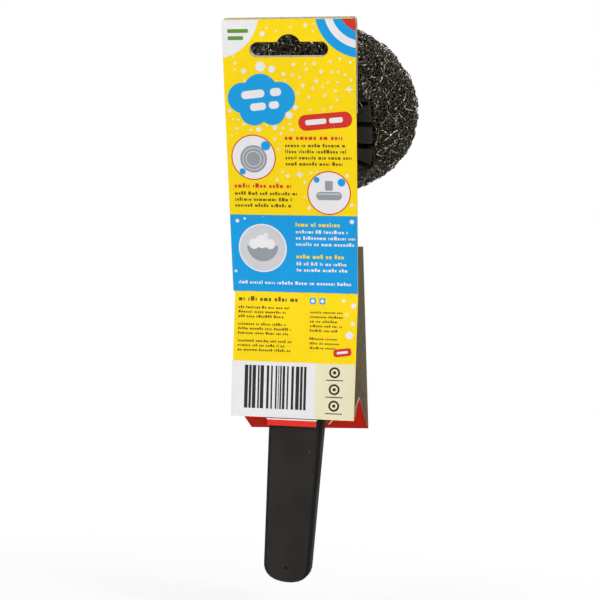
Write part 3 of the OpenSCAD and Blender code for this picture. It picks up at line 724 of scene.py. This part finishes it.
def foot_print():
    """Lower panel: heights are measured from its foot."""
    rng = random.Random(37)
    field("print_code_panel", WHITE, card, 0, 0.05, 23.2, FIRST, u1=9.6)
    field("print_cream_panel", CREAM, card, 0, 0.05, 23.2, FIRST, u0=9.6)
    stripes = Ink("print_stripes", SLATE, card, SECOND)
    u = -20.6
    while u < 5.6:
        w = rng.choice((0.35, 0.35, 0.7, 0.7, 1.05, 1.5))
        stripes.bar(u + w / 2, 12.6, w, 18.0)
        u += w + rng.choice((0.4, 0.5, 0.8, 1.2))
    stripes.done()
    marks = Ink("print_leaves", SLATE, card, SECOND)
    for v in (19.0, 12.0, 5.2):
        marks.ring(17.6, v + 0.6, 2.3, 1.5, 32)
        marks.disc(17.6, v + 0.6, 0.7, 24)
        marks.bar(17.6, v - 2.6, 7.2, 0.4)
    marks.done()
    heads = Ink("print_foot_heading", INK, card, FIRST)
    heads.words(-24.0, 49.4, 27, 1, 2, 1.9, rng, 0.05)
    for v in (45.8, 38.8, 31.8):
        heads.words(-24.0, v, 24, 3, 1.9, 1.1, rng, 0.2)
    heads.words(6.6, 44.4, 15, 5, 1.9, 1.0, rng, 0.25)
    heads.words(6.6, 33.4, 13, 3, 1.9, 1.0, rng, 0.25)
    heads.done()
    squares = Ink("print_foot_marks", BLUE, card, FIRST)
    squares.bar(7.6, 49.0, 2.6, 2.6, 0.6)
    squares.bar(11.6, 49.0, 2.6, 2.6, 0.6)
    squares.done()
    badge = Ink("print_foot_badge", RED, card, FIRST)
    badge.bar(20.6, 28.0, 7.6, 3.2, 1.2, 8)
    badge.done()
    dots = Ink("print_foot_dots", WHITE, card, SECOND)
    dots.bar(20.6, 28.0, 4.6, 1.0, 0.3, 8)
    dots.dots(((7.6, 49.0, 0.8), (11.6, 49.0, 0.8), (24.8, 47.4, 1.1), (22.0, 43.6, 0.6),
               (24.6, 40.0, 0.8), (23.4, 35.2, 1.6), (20.6, 49.4, 0.7)))
    dots.done()


def crease_wear(rng):
    wear = Ink("crease_wear", PALE_BOARD, card, THIRD)
    u = -CARD_FOOT_W / 2 + 0.2
    while u < CARD_FOOT_W / 2 - 1.2:
        long = rng.uniform(0.4, 3.2)
        wear.bar(u + long / 2, LOWER - 0.12, min(long, CARD_FOOT_W / 2 - u), rng.uniform(0.1, 0.22))
        u += long + rng.uniform(0.3, 2.6)
    wear.done()


def tongue_top():
    """The white print that runs from the back panel a little way down the tongue."""
    strip = Ink("tongue_white_top", WHITE, card, -0.12)
    middle = -0.1
    strip.bar(middle, -0.6, TONGUE_W + 1.2, 0.56)
    strip.cut((middle + TONGUE_W / 2, -0.9), (1, -1))
    strip.cut((middle - TONGUE_W / 2, -0.9), (-1, -1))
    strip.done("tongue", "card_red")


def torn_ear(rng):
    """Torn fibres up the ear's steep side, the marks of a perforation down the other, and a shred."""
    side = (front @ Matrix.Translation((CARD_FOOT_W / 2 - 0.1, 0, 0.3))
            @ Matrix.Rotation(math.radians(90) - math.atan(BASE_SLIDE / BASE_Y), 4, "Z"))
    slope = [(p * BASE_Y, p * BASE_Z + q * EAR_H) for p, q in EAR]
    torn = Ink("ear_torn_edge", PALE_BOARD, side, FIRST)
    for (u0, v0), (u1, v1) in zip(slope, slope[1:]):
        turn = math.degrees(math.atan2(v1 - v0, u1 - u0))
        run = math.hypot(u1 - u0, v1 - v0)
        down = turn < 0
        step = 1.05 if down else 0.5
        for i in range(int(run / step)):
            t = (i + 0.5) * step / run
            inside = rng.uniform(0.16, 0.3)
            x = u0 + (u1 - u0) * t + math.sin(math.radians(turn)) * inside
            y = v0 + (v1 - v0) * t - math.cos(math.radians(turn)) * inside
            torn.bar(x, y, 0.6 if down else 0.5, 0.24 if down else rng.uniform(0.2, 0.4), 0, turn)
    torn.done()
    shred = Ink("torn_shred", PALE_BOARD, card, -0.35)
    shred.bar(16.7, -0.7, 0.42, 1.9, 0.12, -38)
    shred.bar(15.9, -1.6, 0.3, 0.9, 0.1, -62)
    shred.done()
    modify(shred.piece, "SOLIDIFY", thickness=0.00015)


def fold_details():
    rng = random.Random(71)
    crease_wear(rng)
    tongue_top()
    torn_ear(rng)


def front_print():
    """The front panel's outer face, seen from the scourer's side."""
    rng = random.Random(53)
    mouth_y = BEHIND_HANDLE + HANDLE_T + BEFORE_HANDLE + BOARD_T
    lean = math.atan2(BASE_Y - mouth_y, FRONT_H)
    tall = math.hypot(BASE_Y - mouth_y, FRONT_H)
    sheet = (front @ Matrix.Translation((BASE_SLIDE, BASE_Y, BASE_Z)) @ Matrix.Rotation(lean, 4, "X")
             @ turned(180, "Z"))
    wide = CARD_FOOT_W / 2 - 0.5
    band = Ink("front_blue_band", BLUE, sheet, FIRST)
    band.bar(0, 16, 2 * wide, 26)
    band.done()
    red = Ink("front_red_foot", RED, sheet, SECOND)
    red.bar(0, 3.4, 2 * wide, 5.6)
    red.done()
    splash = Ink("front_splash", BLUE, sheet, FIRST)
    splash.cloud(((-9, 58, 8), (0, 61, 9), (9, 58, 8), (-4, 53, 7), (5, 53, 7)))
    splash.done()
    bars = Ink("front_bars", WHITE, sheet, 0.1)
    bars.bar(-4.6, 60, 13, 4, 1.8)
    bars.bar(8.0, 60, 7, 4, 1.8)
    bars.bar(0, 53.6, 15, 3.6, 1.7)
    bars.words(-21, 24, 42, 2, 2.6, 1.5, rng, 0.2)
    bars.words(-21, 18.8, 30, 3, 2.6, 1.5, rng, 0.2)
    bars.disc(17, 14.4, 5.4, 48)
    taken = []
    while len(taken) < 34:
        u, v = rng.uniform(-23.5, 23.5), rng.choice((rng.uniform(32, 44), rng.uniform(70, tall - 3)))
        r = rng.choice((0.5, 0.8, 1.1, 1.7))
        if all(math.hypot(u - a, v - b) > c + r + 1 for a, b, c in taken):
            taken.append((u, v, r))
            bars.disc(u, v, r, 24)
    bars.done()
    plate = Ink("front_plate", SILVER, sheet, 0.12)
    plate.disc(17, 14.4, 3.9, 40)
    plate.done()


header_print()
band_print()
foot_print()
fold_details()
front_print()


# The wand's plastic and small steel parts
moulded("handle_back_shell", "black_handle", BLACK, "wand", "handle_black", 0.0, 0.4, 38)
moulded("handle_front_shell", "black_handle_front", BLACK, "wand", "handle_black", 0.0, 0.4, 38)
moulded("release_lever", "thumb_lever", LEVER_RED, "lever", "lever_red", 0.35)
moulded("slide_shoe", "refill_shoe", REFILL_BLACK, "refill", "refill_black", 0.3)
moulded("petal_plate", "petal_disc", REFILL_BLACK, "refill", "refill_black", 0.35)
moulded("centre_button", "face_button", REFILL_BLACK, "refill", "refill_black", 0.2)
for node in ("lever_pin", "mesh_tie_ring"):
    for part in nodes[node].material_slots:
        part.material = SPRING


def catch_leaf():
    """The leaf spring, cut across into short lengths."""
    leaf = clean_copy("catch_spring", "catch_leaf")
    leaf.data.materials.append(SPRING)
    bpy.ops.object.mode_set(mode="EDIT")
    down_slope = head.to_3x3() @ Vector((0, 1000, 0))
    for step in range(8):
        bpy.ops.mesh.select_all(action="SELECT")
        bpy.ops.mesh.bisect(plane_co=head @ Vector((0, HOOK_Y + 0.9 + step * 0.7, 0)), plane_no=down_slope)
    bpy.ops.object.mode_set(mode="OBJECT")
    smooth(leaf, 30)
    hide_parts("catch_spring")
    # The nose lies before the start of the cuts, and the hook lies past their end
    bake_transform(leaf)


catch_leaf()


# The knitted steel scourer
SEAT_R = BUTTON_R + 0.5
BACK_R = PLATE_R + 0.7
FACE_Z = MESH_T / 2 - 1
MESH_OVAL, MESH_UP = 0.975, 0.8
ROLLS, VALLEY, FULLNESS = 3, 2.6, 2.2
FLANK_STEPS, FACE_STEPS, TABLE_STEPS = 16, 72, 400
STITCH_STEPS = 8
STRAY_WIRES = 380


def scourer_outline():
    """Radius and height from the plate's rim round the flank and over the three rolls to the button."""
    points = [(BACK_R - 2.2, MESH_BACK - SUNK * 0.4)]
    for i in range(FLANK_STEPS + 1):
        a = math.radians(90 * i / FLANK_STEPS)
        points.append((BACK_R + (MESH_R - BACK_R) * math.sin(a),
                       MESH_BACK - SUNK + (1 - MESH_BACK + SUNK) * (1 - math.cos(a))))
    for i in range(1, FACE_STEPS + 1):
        t = i / FACE_STEPS
        valley = 0 if t * ROLLS < 0.5 else VALLEY * (1 - abs(math.sin(math.pi * ROLLS * t)))
        dome = 1 + FACE_Z * math.sqrt(max(0, 1 - (1 - t) ** FULLNESS))
        points.append((MESH_R + (SEAT_R - MESH_R) * t, dome - valley))
    return points


OUTLINE = scourer_outline()
RUN = [0.0]
for one, two in zip(OUTLINE, OUTLINE[1:]):
    RUN.append(RUN[-1] + math.dist(one, two))


def on_outline(s):
    """The point at the distance s along the outline, and the direction out of the scourer there."""
    s = min(max(s, 0.0), RUN[-1] - 1e-6)
    i = next(k for k in range(len(RUN) - 1) if RUN[k + 1] >= s)
    t = (s - RUN[i]) / (RUN[i + 1] - RUN[i])
    (r0, z0), (r1, z1) = OUTLINE[i], OUTLINE[i + 1]
    length = math.dist(OUTLINE[i], OUTLINE[i + 1])
    return r0 + (r1 - r0) * t, z0 + (z1 - z0) * t, (z1 - z0) / length, -(r1 - r0) / length


TABLE = [on_outline(RUN[-1] * k / TABLE_STEPS) for k in range(TABLE_STEPS + 1)]


def outline_at(s):
    """As on_outline, but quicker, between the steps of the table."""
    k = min(max(s / RUN[-1] * TABLE_STEPS, 0.0), TABLE_STEPS - 0.001)
    i = int(k)
    return [a + (b - a) * (k - i) for a, b in zip(TABLE[i], TABLE[i + 1])]


def raised(place, lift):
    """The radius and height of the point that stands lift above a place on the outline."""
    r, z, out_r, out_z = place
    size = math.hypot(out_r, out_z) or 1.0
    return r + out_r / size * lift, z + out_z / size * lift


def around(r, turn):
    """A point round the scourer, which is a little less tall than wide and has crept up at its rim."""
    crept = MESH_UP * (r - SEAT_R) / (MESH_R - SEAT_R)
    return r * math.cos(turn), MESH_OVAL * r * math.sin(turn) - crept


def meets_plate(x, y, z, margin):
    """Whether a point of wire lies where the oval plate is."""
    past = max(abs(y) - (PLATE_HALF_L - PLATE_R), 0.0)
    return z < MESH_BACK + 0.5 and math.hypot(x, past) < PLATE_R + margin


def knitted_course(rng, row, pitch, rise, depth, wander, seed):
    """One course of knitted wire round the scourer, as a closed run of points in millimetres."""
    r = outline_at(row)[0]
    stitches = max(12, round(2 * math.pi * r / pitch))
    phase = rng.random() * 2 * math.pi
    points = []
    for i in range(stitches * STITCH_STEPS):
        turn = 2 * math.pi * i / (stitches * STITCH_STEPS)
        beat = 2 * math.pi * i / STITCH_STEPS
        along = turn + phase + 0.26 * pitch * math.sin(2 * beat) / max(r, 6)
        across = row - rise * math.cos(beat)
        lift = -depth + 0.4 * math.cos(2 * beat)
        probe = Vector((r * math.cos(along), r * math.sin(along), row)) * 0.16
        swing = noise.noise_vector(probe + Vector((seed, seed * 0.7, 0)))
        quick = noise.noise_vector(probe * 3.1 + Vector((seed * 1.3, 0, seed)))
        along += (swing.x * wander + quick.x * wander * 0.45) / max(r, 6)
        across += swing.y * wander + quick.y * wander * 0.45
        lift += swing.z * wander * 0.55 + quick.z * wander * 0.35
        at_r, z = raised(outline_at(across), min(lift, 0.4))
        x, y = around(at_r, along)
        # Under the oval plate the wire dips into the scourer
        if meets_plate(x, y, z, 0.3):
            z = max(z, MESH_BACK + 0.3)
        points.append((x, y, z))
    return points


def wire_profile(width, thick):
    data = bpy.data.curves.new("wire_section", "CURVE")
    data.dimensions = "2D"
    spline = data.splines.new("POLY")
    spline.points.add(3)
    for point, (x, y) in zip(spline.points, ((-1, -1), (1, -1), (1, 1), (-1, 1))):
        point.co = (x * width / 2, y * thick / 2, 0, 1)
    spline.use_cyclic_u = True
    section = bpy.data.objects.new("wire_section", data)
    bpy.context.scene.collection.objects.link(section)
    return section


def wire_layer(name, material, courses, width, thick, closed=True):
    """Turns courses of points into one piece of flat wire."""
    section = wire_profile(width, thick)
    data = bpy.data.curves.new(name, "CURVE")
    data.dimensions = "3D"
    data.bevel_mode = "OBJECT"
    data.bevel_object = section
    data.use_fill_caps = not closed
    for points in courses:
        spline = data.splines.new("POLY")
        spline.points.add(len(points) - 1)
        for point, at in zip(spline.points, points):
            point.co = (*at, 1)
        spline.use_cyclic_u = closed
    piece = bpy.data.objects.new(name, data)
    bpy.context.scene.collection.objects.link(piece)
    activate(piece)
    bpy.ops.object.convert(target="MESH")
    piece = bpy.context.object
    piece.data.transform(head)
    piece.data.materials.clear()
    piece.data.materials.append(material)
    bpy.data.objects.remove(section)
    return piece


def loose_strand(rng, seed):
    """A stray end of wire, which lies on the scourer and wanders over it."""
    row = rng.uniform(1.5, RUN[-1] * 0.8)
    turn = rng.uniform(0, 2 * math.pi)
    way = rng.uniform(0, 2 * math.pi)
    lift = rng.uniform(-0.9, 0.25)
    curl = rng.uniform(-0.09, 0.09)
    step = 0.95
    points = []
    for i in range(rng.randint(6, 16)):
        place = outline_at(row)
        at_r, z = raised(place, lift + 0.3 * math.sin(i * 0.8 + seed))
        x, y = around(at_r, turn)
        if meets_plate(x, y, z, 0.4):
            break
        points.append((x, y, z))
        row += step * math.sin(way)
        turn += step * math.cos(way) / max(place[0], 6)
        way += curl + rng.uniform(-0.3, 0.3)
        if not 0.8 < row < RUN[-1] - 0.8:
            break
    return points


def petal_strand(angle, inward, spread, rng):
    """A loop of wire that strays from the scourer over the rim of the petals and back."""
    points = []
    for i in range(19):
        t = i / 18
        a = math.radians(angle + spread * (t - 0.5))
        over = inward * math.sin(math.pi * t) ** 0.8
        sway = 0.75 + 0.5 * noise.noise((angle, t * 3.0, inward))
        r = PLATE_R + 2.6 - over * sway + rng.uniform(-0.1, 0.1)
        out = (r - PLATE_R) / 2.6
        # At the plate's ends the scourer lies lower, so the loop falls further to meet it
        fall = 2.4 + 3.6 * math.sin(a) ** 2
        z = PETAL_BACK - 0.2 + fall * max(out - 0.15, 0.0) / 0.85
        shift = math.copysign(PLATE_HALF_L - PLATE_R, math.sin(a)) * min(1, abs(math.sin(a)) * 3)
        points.append((r * math.cos(a), r * math.sin(a) + shift, z))
    return points


def scourer_core():
    """A near-black shell under the outer courses, painted shade that stands for the inner tangle of wire:
    a line drawn point by point, then spun round.
    """
    ring = []
    for k in range(0, TABLE_STEPS + 1, 8):
        r, z = raised(TABLE[k], -4.4)
        ring.append(Vector((max(r, 9.0), 0, z)))
    deselect()
    bpy.ops.mesh.primitive_plane_add(size=0.1, location=ring[0])
    core = bpy.context.object
    core.name = "scourer_core"
    bpy.ops.object.transform_apply(location=True)
    bpy.ops.object.mode_set(mode="EDIT")
    bpy.ops.mesh.merge(type="CENTER")
    for last, point in zip(ring, ring[1:] + ring[:1]):
        bpy.ops.mesh.extrude_vertices_move(TRANSFORM_OT_translate={"value": point - last})
    bpy.ops.mesh.select_all(action="SELECT")
    bpy.ops.mesh.spin(steps=96, angle=2 * math.pi, center=(0, 0, 0), axis=(0, 0, 1))
    bpy.ops.mesh.select_all(action="SELECT")
    bpy.ops.transform.resize(value=(1, MESH_OVAL, 1), center_override=(0, 0, 0))
    bpy.ops.mesh.remove_doubles(threshold=0.001)
    bpy.ops.mesh.normals_make_consistent(inside=False)
    bpy.ops.object.mode_set(mode="OBJECT")
    core.data.transform(head)
    core.data.materials.append(PAINTED_SHADE_CORE)
    smooth(core, 60)
    return core


# Each layer's name and material, its depth, pitch, spacing, rise and wander, and its wire's two widths
LAYERS = (
    ("knit_outer_a", WIRE, 0.35, 3.7, 2.8, 2.8, 2.1, 0.4, 0.14),
    ("knit_outer_b", WIRE, 0.95, 3.5, 2.7, 2.6, 2.8, 0.4, 0.14),
    ("knit_middle", WIRE, 1.8, 3.5, 2.7, 2.6, 3.0, 0.42, 0.16),
    ("knit_inner", SHADED_WIRE, 2.9, 3.6, 2.7, 2.4, 2.6, 0.6, 0.2),
)


def knitted_scourer():
    rng = random.Random(5)
    finish(scourer_core(), "refill", "steel_mesh", "scourer_mesh")
    for n, (name, material, depth, pitch, spacing, rise, wander, width, thick) in enumerate(LAYERS):
        courses = []
        row = 0.8 + spacing * (0.15 + 0.23 * n)
        while row < RUN[-1] - 0.6:
            courses.append(knitted_course(rng, row, pitch, rise, depth, wander, 3.7 * n + 1.3))
            row += spacing
        finish(wire_layer(name, material, courses, width, thick), "refill", "steel_mesh")
    strays = [loose_strand(rng, k) for k in range(STRAY_WIRES)]
    long_enough = [strand for strand in strays if len(strand) > 4]
    finish(wire_layer("stray_wires", GLINT, long_enough, 0.36, 0.12, False), "refill", "steel_mesh")
    # Loops all round, and more of them where the petals' two ends show at the card's edge
    angles = list(range(0, 360, 17)) + list(range(-36, -12, 2)) + list(range(24, 38, 3))
    over = [petal_strand(a + rng.uniform(-9, 9), rng.uniform(1.2, 6.5), rng.uniform(9, 26), rng)
            for a in angles]
    finish(wire_layer("petal_wires", WIRE, over, 0.34, 0.14, False), "refill", "steel_mesh")


knitted_scourer()


# Floor, backdrop and light
FLOOR_Z, FLOOR_R, LIT_POINT = -0.236, 3.0, (0, 0, -0.08)
# Each lamp's place in metres, its width and its power in watts
LAMPS = {
    "key": ((-0.75, -1.0, 0.75), 0.5, 9.2),
    "fill": ((-0.15, -1.25, 0.12), 0.2, 1.5),
    "rim": ((0.7, -0.3, 1.0), 0.25, 3.4),
    "back": ((0.3, 1.1, 0.9), 0.7, 7),
}


def pale_floor():
    """A floor that keeps the shadow under the wand and turns to plain white further out."""
    deselect()
    bpy.ops.mesh.primitive_circle_add(vertices=96, radius=FLOOR_R, fill_type="NGON",
                                      location=(0, 0, FLOOR_Z))
    floor = bpy.context.object
    floor.name = "pale_floor"
    material, g, shader = new_material("pale floor")
    shader.inputs["Base Color"].default_value = rgba(0.92, 0.92, 0.92)
    shader.inputs["Roughness"].default_value = 0.9
    glow = g.add("ShaderNodeEmission", Color=rgba(1, 1, 1), Strength=1.0)
    rays = g.add("ShaderNodeLightPath")
    seen = g.math("MAXIMUM", rays.outputs["Is Camera Ray"], rays.outputs["Is Glossy Ray"])
    away = g.add("ShaderNodeVectorMath")
    away.operation = "LENGTH"
    g.join(g.add("ShaderNodeTexCoord").outputs["Object"], away.inputs[0])
    far = g.ramp(away.outputs["Value"], 0.0, 0.26, 0.62, 1.0)
    both = g.add("ShaderNodeMixShader")
    g.join(g.math("MULTIPLY", seen, far), both.inputs[0])
    g.join(shader.outputs[0], both.inputs[1])
    g.join(glow.outputs[0], both.inputs[2])
    out = next(n for n in g.tree.nodes if n.type == "OUTPUT_MATERIAL")
    g.join(both.outputs[0], out.inputs["Surface"])
    floor.data.materials.append(material)


def lamp(name, place, size, watts):
    data = bpy.data.lights.new(name, "AREA")
    data.shape = "DISK"
    data.size = size
    data.energy = watts
    light = bpy.data.objects.new(name, data)
    bpy.context.scene.collection.objects.link(light)
    light.location = place
    light.rotation_euler = (Vector(LIT_POINT) - Vector(place)).to_track_quat("-Z", "Y").to_euler()


def studio():
    """Soft light from all round, a white backdrop for the rays that see it, and four soft lamps."""
    world = bpy.data.worlds.new("studio")
    bpy.context.scene.world = world
    world.use_nodes = True
    world.node_tree.nodes.clear()
    g = Graph(world.node_tree)
    soft = g.add("ShaderNodeBackground", Color=rgba(1, 1, 1), Strength=0.4)
    white = g.add("ShaderNodeBackground", Color=rgba(1, 1, 1), Strength=1.0)
    rays = g.add("ShaderNodeLightPath")
    seen = g.math("MAXIMUM", rays.outputs["Is Camera Ray"], rays.outputs["Is Glossy Ray"])
    both = g.add("ShaderNodeMixShader")
    g.join(g.math("MAXIMUM", seen, rays.outputs["Is Transmission Ray"]), both.inputs[0])
    g.join(soft.outputs[0], both.inputs[1])
    g.join(white.outputs[0], both.inputs[2])
    g.add("ShaderNodeOutputWorld", Surface=both.outputs[0])
    for name, setting in LAMPS.items():
        lamp(name, *setting)
    bpy.context.scene.view_settings.view_transform = "Standard"


pale_floor()
studio()
